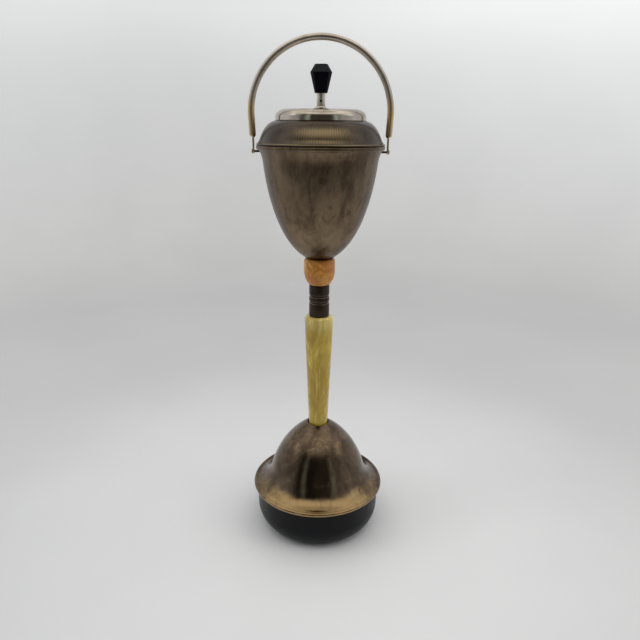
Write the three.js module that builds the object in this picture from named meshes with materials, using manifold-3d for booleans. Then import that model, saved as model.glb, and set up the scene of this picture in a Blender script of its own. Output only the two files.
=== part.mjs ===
// Standing push-down ashtray: a weighted round foot, a spun brass dome, an onyx column, an egg-shaped
// brass bowl with a lift-off cover, a nickel ash ring closed by a spinning disc, and a bail handle.
// Millimetres, +Z up. The origin is on the floor, on the axis of the column. -Y is the front.
import * as THREE from 'three';
import { mergeVertices } from 'three/addons/utils/BufferGeometryUtils.js';
import Module from 'manifold-3d';

const wasm = await Module();
wasm.setup();

// ---- Driving dimensions -------------------------------------------------------------------------
const SHEET = 1.0;               // wall of the spun brass shells
const FIT = 0.3;                 // clearance round parts that are slid over or into each other
const ROD_R = 4.0;               // M8 tie rod
const ROD_HOLE_R = 4.6;          // hole for the tie rod
const NUT_AF = 13;               // across flats of the M8 nuts
const NUT_H = 6.4;
const LOCKNUT_H = 5;             // thin nut under the foot

const PAD_T = 3;                 // felt pad under the foot
const PAD_R = 59;
const PAD_HOLE_R = 24;
const FOOT_R = 79.5;             // black foot: straight upper wall, rounded lower edge
const FOOT_BOTTOM_R = 60;
const FOOT_TOP_Z = 55;
const FOOT_BELLY_Z = 30;         // where the rounding meets the straight wall
const FOOT_WALL = 2.5;
const FOOT_RECESS_R = 20;        // raised centre that hides the lower nut
const FOOT_RECESS_Z = 11;
const WEIGHT_TOP_Z = 22;         // cast iron disc inside the foot
const BIG_WASHER_R = 12;
const BIG_WASHER_T = 1.6;

const FLANGE_R = 84.7;           // rolled edge of the brass dome
const FLANGE_H = 5.5;
const DOME_WAIST_R = 59.8;        // where the dome side turns into the flare of the flange
const DOME_WAIST_Z = 84;
const DOME_TOP_Z = 143;
const DOME_TOP_R = 14.2;
const DOME_CUP_R = 13.2;         // pressed cup that holds the column
const DOME_CUP_Z = 138;

const STEM_BOTTOM_Z = 139;
const STEM_TOP_Z = 287.6;
const STEM_BOTTOM_R = 11.9;
const STEM_TOP_R = 17.7;
const STEM_SHOULDER = 3.4;       // rounding of its upper edge
const COLLAR_BOTTOM_Z = 288.4;
const COLLAR_TOP_Z = 327.8;
const COLLAR_R = 12.3;
const COLLAR_EDGE = 0.7;         // chamfer of its ends
const GROOVE_DEPTH = 1.0;        // two grooves round the collar
const GROOVE_H = 1.8;
const GROOVES_Z = [305.8, 313.9];
const BEAD_TOP_Z = 359.4;
const BEAD_R = 18.8;
const SEAT_R = 15.2;             // thin ring between the bead and the bowl
const BOWL_BOTTOM_Z = 361;

const BOWL_SEAT_R = 17;          // flat bottom of the bowl
const BOWL_SIDE_R = 65;          // where the egg shape turns into the flare of the mouth
const BOWL_SIDE_Z = 467.1;
const RIM_R = 72.6;              // rolled rim of the bowl
const RIM_BOTTOM_Z = 483.4;
const RIM_TOP_Z = 488.6;
const RIM_W = 2.2;               // half the width of the roll
const MOUTH_R = RIM_R - 3.6;     // inside of the mouth

const COVER_EDGE_R = 72.2;
const COVER_NECK_R = 68.9;       // where the turned-out edge meets the shoulder
const COVER_NECK_Z = 494.2;
const COVER_TOP_Z = 514.3;
const COVER_HOLE_R = 44.6;
const RING_R = 50.6;             // nickel ash ring
const RING_TOP_Z = 526.4;
const RING_ROUND_R = 10.5;       // rounding of its outer edge, across and down
const RING_ROUND_H = 8.4;
const RING_OPENING_R = 31;
const RING_LIP_R = 1.8;          // rolled lip round the opening
const REST_R = 4.6;              // cigarette rests pressed into the ring
const REST_INNER_X = 39;
const REST_LIFT = 1.6;           // axis of a rest above the top of the ring
const RIVET_R = 1.5;             // rivets through ring, cover and bridge
const RIVET_Y = 47.4;

const TRAVEL = 14;               // stroke of the knob
const HELIX_LEAD = 2 * TRAVEL;   // one turn of the twisted strip, so half a turn per stroke
const DISC_R = 33;
const DISC_T = 0.9;
const DISC_Z = 523.6;            // underside of the disc at its edge
const HUB_TOP_Z = 529.6;
const BOSS_BOTTOM_Z = 516.5;
const SHAFT_R = 2.7;
const SHAFT_GROOVE_Z = 535;      // groove that the retaining screw runs in
const SLEEVE_R = 4.85;
const KNOB_BOTTOM_Z = 543;
const KNOB_WIDE_Z = 563.8;
const KNOB_TOP_Z = 572.4;
const KNOB_LOW_R = 7.1;          // half widths at the bottom, at the widest place and on top
const KNOB_WIDE_R = 11.8;
const KNOB_HIGH_R = 6.4;
const KNOB_FLAT = 0.7;           // share of the half width that stays flat between the cut corners
const BRIDGE_Z = 485;            // underside of the strap below the disc
const BRIDGE_T = 1.5;
const BRIDGE_W = 14;
const STRIP_W = 6.2;             // twisted spindle
const STRIP_T = 1.8;
const GUIDE_FLANGE_Z = BRIDGE_Z + BRIDGE_T + 1.5;
const SPRING_R = 7.4;
const WIRE_R = 0.6;
const COILS = 7;

const HANDLE_TUBE_R = 3.75;
const HANDLE_WALL = 0.8;
const HANDLE_BEND_R = 77.2;      // centreline of the half circle
const HANDLE_BEND_Z = 522.4;
const HANDLE_END_Z = 498;
const HANDLE_LEAN = 1.0;         // how far each leg leans inwards
const PIVOT_Z = 481.4;
const LUG_INNER_X = 74.6;
const LUG_T = 1.8;
const LUG_W = 5.6;
const TONGUE_W = 4.0;            // part of the lug inside the tube
const STUD_R = 1.25;
const STUD_INNER_X = 65.4;       // the stud reaches through the wall of the bowl

const ROUND = 32;                // facets round the large shells
const COLUMN_ROUND = 20;         // facets round the pieces of the column
const SMALL_ROUND = 12;          // facets round the small turned parts

// ---- Materials ----------------------------------------------------------------------------------
const finish = (color, roughness, metalness) =>
  new THREE.MeshStandardMaterial({ color, roughness, metalness });

const AGED_BRASS = finish(0x6f6048, 0.38, 0.95);
const GOLD_BRASS = finish(0x9a7b42, 0.34, 0.95);
const NICKEL = finish(0xcfc8ba, 0.16, 1.0);
const STEEL = finish(0x8c8c8a, 0.4, 0.9);
const DARK_BRONZE = finish(0x2e2822, 0.45, 0.85);
const CAST_IRON = finish(0x3a3a3c, 0.8, 0.6);
const BLACK_PAINT = finish(0x101113, 0.35, 0.0);
const BLACK_PLASTIC = finish(0x0c0c0e, 0.25, 0.0);
const FELT = finish(0x1c1d1c, 0.95, 0.0);
const ONYX = finish(0xb3ad5c, 0.2, 0.0);
const STONE = finish(0xb0834e, 0.5, 0.0);

// ---- Shape helpers ------------------------------------------------------------------------------
const V2 = (r, z) => new THREE.Vector2(r, z);
const V3 = (x, y, z) => new THREE.Vector3(x, y, z);

const group = new THREE.Group();

function add(name, geometry, material) {
  const mesh = new THREE.Mesh(geometry, material);
  mesh.name = name;
  group.add(mesh);
  return mesh;
}

// A quarter or other part of an ellipse, as points, from angle a0 to a1 in degrees.
function arc(cr, cz, ar, az, a0, a1, steps = 6) {
  const points = [];
  for (let i = 0; i <= steps; i++) {
    const a = THREE.MathUtils.degToRad(a0 + ((a1 - a0) * i) / steps);
    points.push(V2(cr + ar * Math.cos(a), cz + az * Math.sin(a)));
  }
  return points;
}

function curve(p0, p1, p2, p3, steps = 10) {
  return new THREE.CubicBezierCurve(p0, p1, p2, p3).getPoints(steps);
}

// Moves an open outline sideways by a distance, to the left of its direction of travel.
function offset(points, distance) {
  return points.map((p, i) => {
    const before = points[Math.max(i - 1, 0)];
    const after = points[Math.min(i + 1, points.length - 1)];
    const along = after.clone().sub(before).normalize();
    return V2(p.x - along.y * distance, p.y + along.x * distance);
  });
}

// Turns a closed outline (or one that starts and ends on the axis) about the Z axis.
// Outlines run so that the material is on their left, seen with r to the right and z up.
function turned(outline, facets = SMALL_ROUND) {
  const points = outline.slice();
  const onAxis = points[0].x === 0 && points[points.length - 1].x === 0;
  if (!onAxis) points.push(points[0].clone());
  const geometry = new THREE.LatheGeometry(points, facets);
  geometry.rotateX(Math.PI / 2);
  return geometry;
}

const washer = (rInner, rOuter, z0, z1, facets = SMALL_ROUND) =>
  turned([V2(rInner, z0), V2(rOuter, z0), V2(rOuter, z1), V2(rInner, z1)], facets);

const pin = (r, z0, z1, facets = SMALL_ROUND) =>
  turned([V2(0, z0), V2(r, z0), V2(r, z1), V2(0, z1)], facets);

// A closed solid through rings of equally many points, from the first to the last.
function stacked(rings) {
  const count = rings[0].length;
  const corners = rings.flat();
  const faces = [];
  for (let k = 0; k + 1 < rings.length; k++) {
    for (let i = 0; i < count; i++) {
      const a = k * count + i;
      const b = k * count + ((i + 1) % count);
      faces.push(a, b, b + count, a, b + count, a + count);
    }
  }
  const top = (rings.length - 1) * count;
  for (let i = 1; i + 1 < count; i++) {
    faces.push(0, i + 1, i);
    faces.push(top, top + i, top + i + 1);
  }
  const geometry = new THREE.BufferGeometry().setFromPoints(corners);
  geometry.setIndex(faces);
  return geometry;
}

function solid(geometry) {
  const bare = geometry.clone();
  bare.deleteAttribute('normal');
  bare.deleteAttribute('uv');
  const merged = mergeVertices(bare, 1e-4);
  return new wasm.Manifold(new wasm.Mesh({
    numProp: 3,
    vertProperties: new Float32Array(merged.attributes.position.array),
    triVerts: new Uint32Array(merged.index.array),
  }));
}

function fromSolid(body) {
  const mesh = body.getMesh();
  const geometry = new THREE.BufferGeometry();
  geometry.setAttribute('position', new THREE.BufferAttribute(mesh.vertProperties, 3));
  geometry.setIndex(new THREE.BufferAttribute(mesh.triVerts, 1));
  return geometry;
}

function cut(geometry, ...tools) {
  return fromSolid(tools.reduce((body, tool) => body.subtract(solid(tool)), solid(geometry)));
}

function hexNut(z0, z1, holeR) {
  const cornerR = NUT_AF / 2 / Math.cos(Math.PI / 6);
  return cut(pin(cornerR, z0, z1, 6), pin(holeR, z0 - 1, z1 + 1));
}

// Tools for the front and back rivet holes, from one height to another.
function rivetHoles(z0, z1) {
  return [-RIVET_Y, RIVET_Y].map((y) => pin(RIVET_R + FIT, z0, z1).translate(0, y, 0));
}

// Lays a part that was built along Z down along another axis.
function alongX(geometry) {
  return geometry.rotateY(Math.PI / 2);
}

function alongY(geometry) {
  return geometry.rotateX(-Math.PI / 2);
}

// ---- Foot ---------------------------------------------------------------------------------------
function buildFoot() {
  const straight = FOOT_BELLY_Z - PAD_T;
  const inset = FOOT_R - FOOT_BOTTOM_R;
  const outside = arc(FOOT_BOTTOM_R, FOOT_BELLY_Z, inset, straight, -90, 0, 5);
  const inside = arc(FOOT_BOTTOM_R, FOOT_BELLY_Z, inset - FOOT_WALL, straight - FOOT_WALL, 0, -90, 4);
  const shell = [
    V2(ROD_HOLE_R, FOOT_RECESS_Z),
    V2(FOOT_RECESS_R - 1.5, FOOT_RECESS_Z),
    V2(FOOT_RECESS_R + 1.5, PAD_T),
    ...outside,
    V2(FOOT_R, FOOT_TOP_Z),
    V2(FOOT_R - FOOT_WALL, FOOT_TOP_Z),
    ...inside,
    V2(FOOT_RECESS_R + 4, PAD_T + FOOT_WALL),
    V2(FOOT_RECESS_R + 1, FOOT_RECESS_Z + FOOT_WALL),
    V2(ROD_HOLE_R, FOOT_RECESS_Z + FOOT_WALL),
  ];
  add('foot_shell', turned(shell, ROUND), BLACK_PAINT);
  add('foot_pad', washer(PAD_HOLE_R, PAD_R, 0, PAD_T, ROUND), FELT);

  const clearR = ROD_HOLE_R + 1;
  const bossR = FOOT_RECESS_R + 5.5;
  const rimR = FOOT_R - 6.5;
  const chamfer = 2;
  const weight = [
    V2(clearR, FOOT_RECESS_Z + FOOT_WALL),
    V2(bossR, FOOT_RECESS_Z + FOOT_WALL),
    V2(bossR, PAD_T + FOOT_WALL),
    V2(FOOT_BOTTOM_R, PAD_T + FOOT_WALL),
    V2(rimR, WEIGHT_TOP_Z - 2 * chamfer),
    V2(rimR, WEIGHT_TOP_Z - chamfer),
    V2(rimR - chamfer, WEIGHT_TOP_Z),
    V2(clearR, WEIGHT_TOP_Z),
  ];
  const nutZ = WEIGHT_TOP_Z + BIG_WASHER_T;
  const lowWasherZ = FOOT_RECESS_Z - BIG_WASHER_T;
  add('ballast_disc', turned(weight, ROUND), CAST_IRON);
  add('ballast_washer', washer(ROD_HOLE_R, BIG_WASHER_R, WEIGHT_TOP_Z, nutZ), STEEL);
  add('ballast_nut', hexNut(nutZ, nutZ + NUT_H, ROD_R + FIT), STEEL);
  add('foot_washer', washer(ROD_HOLE_R, BIG_WASHER_R, lowWasherZ, FOOT_RECESS_Z), STEEL);
  add('foot_nut', hexNut(lowWasherZ - LOCKNUT_H, lowWasherZ, ROD_R + FIT), STEEL);
}

// ---- Brass dome ---------------------------------------------------------------------------------
function domeSide() {
  const waist = V2(DOME_WAIST_R, DOME_WAIST_Z);
  return curve(waist, V2(49, 117.2), V2(27, 135.4), V2(DOME_TOP_R, DOME_TOP_Z), 7);
}

function buildDome() {
  const rollR = FLANGE_H / 2;
  const rollZ = FOOT_TOP_Z + rollR;
  const roll = arc(FLANGE_R - rollR, rollZ, rollR, rollR, -90, 80, 4);
  const flangeTop = V2(FLANGE_R - 4, FOOT_TOP_Z + FLANGE_H - 0.5);
  const flare = curve(flangeTop, V2(74, 62), V2(63.5, 70), V2(DOME_WAIST_R, DOME_WAIST_Z), 4);
  const outer = [...flare, ...domeSide().slice(1)];
  const inner = offset(outer, SHEET).reverse();
  const dome = [
    V2(FOOT_R - 6, FOOT_TOP_Z),
    ...roll,
    ...outer,
    V2(DOME_CUP_R, DOME_TOP_Z - 0.6),
    V2(DOME_CUP_R, DOME_CUP_Z),
    V2(ROD_HOLE_R, DOME_CUP_Z),
    V2(ROD_HOLE_R, DOME_CUP_Z - SHEET),
    V2(DOME_CUP_R + SHEET, DOME_CUP_Z - SHEET),
    ...inner.slice(1, -1),
    V2(FOOT_R - 6, FOOT_TOP_Z + 5),
  ];
  add('base_dome', turned(dome, ROUND), AGED_BRASS);
}

// ---- Column -------------------------------------------------------------------------------------
function buildColumn() {
  add('column_washer', washer(ROD_HOLE_R, DOME_CUP_R - FIT, DOME_CUP_Z, STEM_BOTTOM_Z), FELT);

  const foot = 1.5;
  const shoulderR = STEM_TOP_R - STEM_SHOULDER;
  const shoulderZ = STEM_TOP_Z - STEM_SHOULDER;
  const stem = [
    V2(ROD_HOLE_R, STEM_BOTTOM_Z),
    ...arc(STEM_BOTTOM_R - foot, STEM_BOTTOM_Z + foot, foot, foot, -90, 0, 3),
    V2(15.2, 222),
    ...arc(shoulderR, shoulderZ, STEM_SHOULDER, STEM_SHOULDER, 0, 90, 4),
    V2(ROD_HOLE_R, STEM_TOP_Z),
  ];
  add('onyx_stem', turned(stem, COLUMN_ROUND), ONYX);
  add('stem_top_washer', washer(ROD_HOLE_R, COLLAR_R - 1.1, STEM_TOP_Z, COLLAR_BOTTOM_Z), FELT);

  const collar = [
    V2(ROD_HOLE_R, COLLAR_BOTTOM_Z),
    V2(COLLAR_R - COLLAR_EDGE, COLLAR_BOTTOM_Z),
    V2(COLLAR_R, COLLAR_BOTTOM_Z + COLLAR_EDGE),
  ];
  for (const z of GROOVES_Z) {
    collar.push(V2(COLLAR_R, z - GROOVE_H / 2 - 0.4), V2(COLLAR_R - GROOVE_DEPTH, z - GROOVE_H / 2));
    collar.push(V2(COLLAR_R - GROOVE_DEPTH, z + GROOVE_H / 2), V2(COLLAR_R, z + GROOVE_H / 2 + 0.4));
  }
  collar.push(V2(COLLAR_R, COLLAR_TOP_Z - COLLAR_EDGE), V2(COLLAR_R - COLLAR_EDGE, COLLAR_TOP_Z));
  collar.push(V2(ROD_HOLE_R, COLLAR_TOP_Z));
  add('ribbed_collar', turned(collar, COLUMN_ROUND), DARK_BRONZE);

  const lowR = COLLAR_R + 0.7;
  const crown = BEAD_TOP_Z - 5.4;
  const bead = [
    V2(ROD_HOLE_R, COLLAR_TOP_Z),
    V2(lowR - 0.6, COLLAR_TOP_Z),
    ...curve(V2(lowR, COLLAR_TOP_Z + 0.5), V2(15.9, 331), V2(BEAD_R, 337), V2(BEAD_R, 346), 5),
    ...curve(V2(BEAD_R, crown), V2(BEAD_R, 357.6), V2(17.9, BEAD_TOP_Z), V2(16, BEAD_TOP_Z), 3),
    V2(ROD_HOLE_R, BEAD_TOP_Z),
  ];
  add('stone_bead', turned(bead, COLUMN_ROUND), STONE);
  add('bowl_seat', washer(ROD_HOLE_R, SEAT_R, BEAD_TOP_Z, BOWL_BOTTOM_Z, COLUMN_ROUND), DARK_BRONZE);

  const rodTopZ = BOWL_BOTTOM_Z + 13;
  add('tie_rod', pin(ROD_R, PAD_T + 0.6, rodTopZ), STEEL);
}

// ---- Bowl ---------------------------------------------------------------------------------------
function buildBowl() {
  const sideTop = V2(BOWL_SIDE_R, BOWL_SIDE_Z);
  const side = curve(V2(BOWL_SEAT_R, BOWL_BOTTOM_Z), V2(51, 381.6), V2(61.9, 442.3), sideTop, 8);
  const mouth = curve(sideTop, V2(65.7, 473.2), V2(67.0, 479.4), V2(RIM_R - 2.4, RIM_BOTTOM_Z), 3);
  const outer = [...side, ...mouth.slice(1)];
  const rollH = (RIM_TOP_Z - RIM_BOTTOM_Z) / 2;
  const roll = arc(RIM_R - RIM_W, RIM_BOTTOM_Z + rollH, RIM_W, rollH, -80, 80, 3);
  const floorZ = BOWL_BOTTOM_Z + SHEET;
  const bowl = [
    V2(ROD_HOLE_R, BOWL_BOTTOM_Z),
    ...outer,
    ...roll,
    V2(MOUTH_R, RIM_TOP_Z),
    V2(MOUTH_R, RIM_BOTTOM_Z + 1.2),
    ...offset(outer, SHEET).reverse().slice(1, -1),
    V2(BOWL_SEAT_R, floorZ),
    V2(ROD_HOLE_R, floorZ),
  ];
  const studHoles = [0, Math.PI].map((turn) =>
    alongX(pin(STUD_R + FIT, STUD_INNER_X - 2, RIM_R + 2)).translate(0, 0, PIVOT_Z).rotateZ(turn));
  add('bowl', cut(turned(bowl, ROUND), ...studHoles), AGED_BRASS);
  const nutZ = floorZ + BIG_WASHER_T;
  add('bowl_washer', washer(ROD_HOLE_R, BIG_WASHER_R, floorZ, nutZ), STEEL);
  add('bowl_nut', hexNut(nutZ, nutZ + NUT_H, ROD_R + FIT), STEEL);
}

// ---- Cover --------------------------------------------------------------------------------------
function buildCover() {
  const neck = V2(COVER_NECK_R, COVER_NECK_Z);
  const edge = curve(V2(COVER_EDGE_R, RIM_TOP_Z + SHEET), V2(70.6, 490.4), V2(69.8, 491.6), neck, 3);
  const shoulder = curve(neck, V2(65.6, 503.4), V2(60.5, 511.6), V2(RING_R + 0.4, COVER_TOP_Z), 5);
  const outer = [...edge, ...shoulder.slice(1)];
  const cover = [
    V2(COVER_EDGE_R - 2.4, RIM_TOP_Z),
    V2(COVER_EDGE_R, RIM_TOP_Z),
    ...outer,
    V2(COVER_HOLE_R, COVER_TOP_Z),
    V2(COVER_HOLE_R, COVER_TOP_Z - SHEET),
    ...offset(outer, SHEET).reverse().slice(0, -1),
  ];
  add('cover', cut(turned(cover, ROUND), ...rivetHoles(COVER_TOP_Z - 3, COVER_TOP_Z + 1)), AGED_BRASS);
  const bandR = MOUTH_R - 0.5;
  add('locating_band', washer(bandR - SHEET, bandR, RIM_BOTTOM_Z + 1.6, RIM_TOP_Z + 2.8, ROUND), GOLD_BRASS);
}

// ---- Ash ring and bridge ------------------------------------------------------------------------
function capsule(r) {
  const length = 20;
  const outline = [V2(0, -r), ...arc(0, 0, r, r, -90, 0, 3).slice(1), V2(r, length), V2(0, length)];
  return alongX(turned(outline, 14)).translate(REST_INNER_X, 0, RING_TOP_Z + REST_LIFT);
}

function buildRing() {
  const bottom = COVER_TOP_Z;
  const crestR = RING_R - RING_ROUND_R;
  const roundZ = RING_TOP_Z - RING_ROUND_H;
  const lipR = RING_OPENING_R + RING_LIP_R;
  const lipZ = RING_TOP_Z - RING_LIP_R;
  const rounding = arc(crestR, roundZ, RING_ROUND_R, RING_ROUND_H, 0, 90, 6);
  const outer = [V2(RING_R, bottom), ...rounding, ...arc(lipR, lipZ, RING_LIP_R, RING_LIP_R, 90, 180, 3)];
  const inner = [
    V2(RING_OPENING_R + SHEET, lipZ),
    V2(lipR, lipZ + RING_LIP_R - SHEET),
    ...arc(crestR, roundZ, RING_ROUND_R - SHEET, RING_ROUND_H - SHEET, 90, 0, 5),
    V2(RING_R - SHEET, bottom + SHEET),
    V2(COVER_HOLE_R, bottom + SHEET),
    V2(COVER_HOLE_R, bottom),
  ];
  const shell = turned([...outer, ...inner], ROUND);
  const limit = [
    V2(RING_OPENING_R + 4, bottom + 1),
    V2(RING_R, bottom + 1),
    ...rounding,
    V2(RING_OPENING_R + 4, RING_TOP_Z),
  ];
  let body = solid(shell);
  for (const turn of [0, Math.PI]) {
    const groove = solid(capsule(REST_R).rotateZ(turn));
    const trough = solid(capsule(REST_R + SHEET).rotateZ(turn)).intersect(solid(turned(limit, ROUND)));
    body = body.add(trough).subtract(groove);
  }
  add('ash_ring', cut(fromSolid(body), ...rivetHoles(bottom - 1, bottom + 2)), NICKEL);
}

function buildBridge() {
  const topZ = COVER_TOP_Z - SHEET;
  const footZ = topZ - BRIDGE_T;
  const strapZ = BRIDGE_Z + BRIDGE_T;
  const endY = 50.2;
  const legTopY = 42;
  const legBottomY = 33;
  const path = [
    V2(-endY, topZ), V2(-endY, footZ), V2(-legTopY, footZ), V2(-legBottomY, BRIDGE_Z),
    V2(legBottomY, BRIDGE_Z), V2(legTopY, footZ), V2(endY, footZ), V2(endY, topZ),
    V2(legTopY - 1, topZ), V2(legBottomY - 1, strapZ), V2(1 - legBottomY, strapZ), V2(1 - legTopY, topZ),
  ];
  const strap = new THREE.ExtrudeGeometry(new THREE.Shape(path), { depth: BRIDGE_W, bevelEnabled: false });
  // The shape lies in the YZ plane and is extruded along X.
  strap.translate(0, 0, -BRIDGE_W / 2);
  strap.applyMatrix4(new THREE.Matrix4().makeBasis(V3(0, 1, 0), V3(0, 0, 1), V3(1, 0, 0)));
  const guideR = 5.6;
  const guideHole = pin(guideR + 0.4, BRIDGE_Z - 1, strapZ + 1);
  add('bridge', cut(strap, guideHole, ...rivetHoles(footZ - 1, topZ + 1)), STEEL);

  const headR = 2.8;
  const headH = 1.2;
  const peenZ = COVER_TOP_Z + SHEET;
  const rivet = [
    V2(0, footZ - headH), V2(headR * 0.6, footZ - headH), V2(headR, footZ), V2(RIVET_R, footZ),
    V2(RIVET_R, peenZ), V2(headR * 0.8, peenZ), V2(headR * 0.5, peenZ + 0.8), V2(0, peenZ + 0.8),
  ];
  add('bridge_rivet_front', turned(rivet).translate(0, -RIVET_Y, 0), STEEL);
  add('bridge_rivet_back', turned(rivet).translate(0, RIVET_Y, 0), STEEL);

  const flangeR = 9;
  const bossR = SPRING_R - WIRE_R - 0.6;
  const bossZ = GUIDE_FLANGE_Z + 1.5;
  const guide = [
    V2(0, BRIDGE_Z - 0.8), V2(guideR, BRIDGE_Z - 0.8), V2(guideR, strapZ), V2(flangeR, strapZ),
    V2(flangeR, GUIDE_FLANGE_Z), V2(bossR, GUIDE_FLANGE_Z), V2(bossR, bossZ), V2(0, bossZ),
  ];
  const slot = twistedStrip(STRIP_W + 3 * FIT, STRIP_T + 3 * FIT, BRIDGE_Z - 3, BRIDGE_Z + 7);
  add('helix_guide', cut(turned(guide), slot), GOLD_BRASS);
}

// ---- Spinning disc and spindle ------------------------------------------------------------------
// Flat strip with a left-hand twist: it turns forwards as it is pushed down through the guide.
// Its ends are rounded to whole steps of the twist, so that strips of any width share their facets.
function twistedStrip(width, thickness, z0, z1) {
  const step = HELIX_LEAD / 20;
  const rings = [];
  for (let i = Math.round(z0 / step); i <= Math.round(z1 / step); i++) {
    const z = i * step;
    const angle = (-2 * Math.PI * z) / HELIX_LEAD;
    const corners = [[-1, -1], [1, -1], [1, 1], [-1, 1]];
    rings.push(corners.map(([a, b]) =>
      V3((a * width) / 2, (b * thickness) / 2, z).applyAxisAngle(V3(0, 0, 1), angle)));
  }
  return stacked(rings);
}

function buildRotor() {
  const under = [
    V2(5.6, DISC_Z + 3.1), V2(9.5, DISC_Z + 1.6), V2(16, DISC_Z - 1.6), V2(22, DISC_Z - 2.3),
    V2(28, DISC_Z - 1.6), V2(DISC_R, DISC_Z),
  ];
  const disc = [...under, ...under.map((p) => V2(p.x, p.y + DISC_T)).reverse()];
  add('spin_disc', turned(disc, ROUND), NICKEL);

  const seatZ = DISC_Z + 3.6;
  const seatR = STRIP_W / 2 + 0.2;
  const boreR = seatR + FIT;
  const bossR = 8;
  const neckR = 5.3;
  const boss = [
    V2(boreR, BOSS_BOTTOM_Z), V2(bossR, BOSS_BOTTOM_Z), V2(bossR, BOSS_BOTTOM_Z + 2),
    V2(neckR, DISC_Z), V2(neckR, seatZ), V2(boreR, seatZ),
  ];
  add('disc_boss', turned(boss), GOLD_BRASS);

  const hubR = 9.2;
  const hubZ = seatZ + 0.8;
  const hub = [
    V2(SHAFT_R + FIT, hubZ), V2(5.9, hubZ), V2(hubR, DISC_Z + 2.9), V2(hubR, DISC_Z + 3.4),
    ...curve(V2(8.4, DISC_Z + 4), V2(6.6, DISC_Z + 4.5), V2(5.6, DISC_Z + 5), V2(5.4, HUB_TOP_Z), 3),
    V2(SHAFT_R + FIT, HUB_TOP_Z),
  ];
  add('disc_hub', turned(hub), NICKEL);

  const topZ = 541;
  const bottomZ = DISC_Z - 2;
  const grooveR = 1.6;
  const grooveLow = SHAFT_GROOVE_Z - 1.3;
  const grooveHigh = SHAFT_GROOVE_Z + 1.3;
  const shaft = [
    V2(0, bottomZ), V2(seatR, bottomZ), V2(seatR, seatZ), V2(SHAFT_R, seatZ),
    V2(SHAFT_R, grooveLow), V2(grooveR, grooveLow), V2(grooveR, grooveHigh), V2(SHAFT_R, grooveHigh),
    V2(SHAFT_R, topZ - 0.5), V2(SHAFT_R - 0.5, topZ), V2(0, topZ),
  ];
  add('rotor_shaft', turned(shaft, COLUMN_ROUND), STEEL);

  const stripBottomZ = BRIDGE_Z - 6.2;
  const stopTopZ = BRIDGE_Z - 1.6;
  const stopR = 5.5;
  add('twisted_spindle', twistedStrip(STRIP_W, STRIP_T, stripBottomZ, bottomZ - 0.7), STEEL);
  const stopHole = twistedStrip(STRIP_W + 0.5, STRIP_T + 0.5, stripBottomZ - 2, BRIDGE_Z + 2);
  add('spindle_stop', cut(pin(stopR, stripBottomZ, stopTopZ), stopHole), GOLD_BRASS);
}

class Helix extends THREE.Curve {
  constructor(radius, z0, z1, turns) {
    super();
    Object.assign(this, { radius, z0, z1, turns });
  }

  getPoint(t, target = new THREE.Vector3()) {
    const angle = t * this.turns * 2 * Math.PI;
    const z = this.z0 + (this.z1 - this.z0) * t;
    return target.set(this.radius * Math.cos(angle), this.radius * Math.sin(angle), z);
  }
}

function roundBar(path, r, steps, sides) {
  const section = new THREE.Shape(arc(0, 0, r, r, 0, 360, sides).slice(0, -1));
  return new THREE.ExtrudeGeometry(section, { steps, bevelEnabled: false, extrudePath: path });
}

function buildSpring() {
  const z0 = GUIDE_FLANGE_Z + WIRE_R + 0.2;
  const z1 = BOSS_BOTTOM_Z - WIRE_R - 0.2;
  add('return_spring', roundBar(new Helix(SPRING_R, z0, z1, COILS), WIRE_R, COILS * 8, 4), STEEL);
}

// ---- Push rod and knob --------------------------------------------------------------------------
// Square with cut corners, seen from above; a broad side faces the front.
function knobRing(halfWidth, z) {
  const flat = halfWidth * KNOB_FLAT;
  const quarter = [[halfWidth, -flat], [halfWidth, flat], [flat, halfWidth], [-flat, halfWidth]];
  const opposite = quarter.map(([x, y]) => [-x, -y]);
  return [...quarter, ...opposite].map(([x, y]) => V3(x, y, z));
}

function buildKnob() {
  const boreR = SHAFT_R + 0.4;
  const boreTopZ = KNOB_BOTTOM_Z - 1;
  const studR = 3;
  const studTopZ = KNOB_BOTTOM_Z + 15;
  const sleeve = [
    V2(boreR, HUB_TOP_Z + FIT), V2(SLEEVE_R, HUB_TOP_Z + FIT), V2(SLEEVE_R, KNOB_BOTTOM_Z),
    V2(studR, KNOB_BOTTOM_Z), V2(studR, studTopZ), V2(0, studTopZ), V2(0, boreTopZ), V2(boreR, boreTopZ),
  ];
  const screwR = 1.1;
  const radial = (r, length) => alongY(pin(r, 2, length)).rotateZ(Math.PI).translate(0, 0, SHAFT_GROOVE_Z);
  add('push_sleeve', cut(turned(sleeve), radial(screwR + 0.2, SLEEVE_R + 2)), NICKEL);
  add('retaining_screw', radial(screwR, SLEEVE_R - 0.4), DARK_BRONZE);

  const insertR = 4.4;
  const insertTopZ = KNOB_BOTTOM_Z + 13;
  add('knob_insert', washer(studR + 0.1, insertR, KNOB_BOTTOM_Z + 0.4, insertTopZ), GOLD_BRASS);
  const knob = stacked([
    knobRing(KNOB_LOW_R - 0.4, KNOB_BOTTOM_Z),
    knobRing(KNOB_LOW_R, KNOB_BOTTOM_Z + 0.5),
    knobRing(KNOB_WIDE_R - 0.1, KNOB_WIDE_Z - 0.4),
    knobRing(KNOB_WIDE_R, KNOB_WIDE_Z + 0.2),
    knobRing(KNOB_HIGH_R + 0.6, KNOB_TOP_Z - 0.4),
    knobRing(KNOB_HIGH_R, KNOB_TOP_Z),
  ]);
  const bore = pin(insertR + 0.1, KNOB_BOTTOM_Z - 1, studTopZ + 1);
  add('knob', cut(knob, bore), BLACK_PLASTIC);
}

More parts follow.
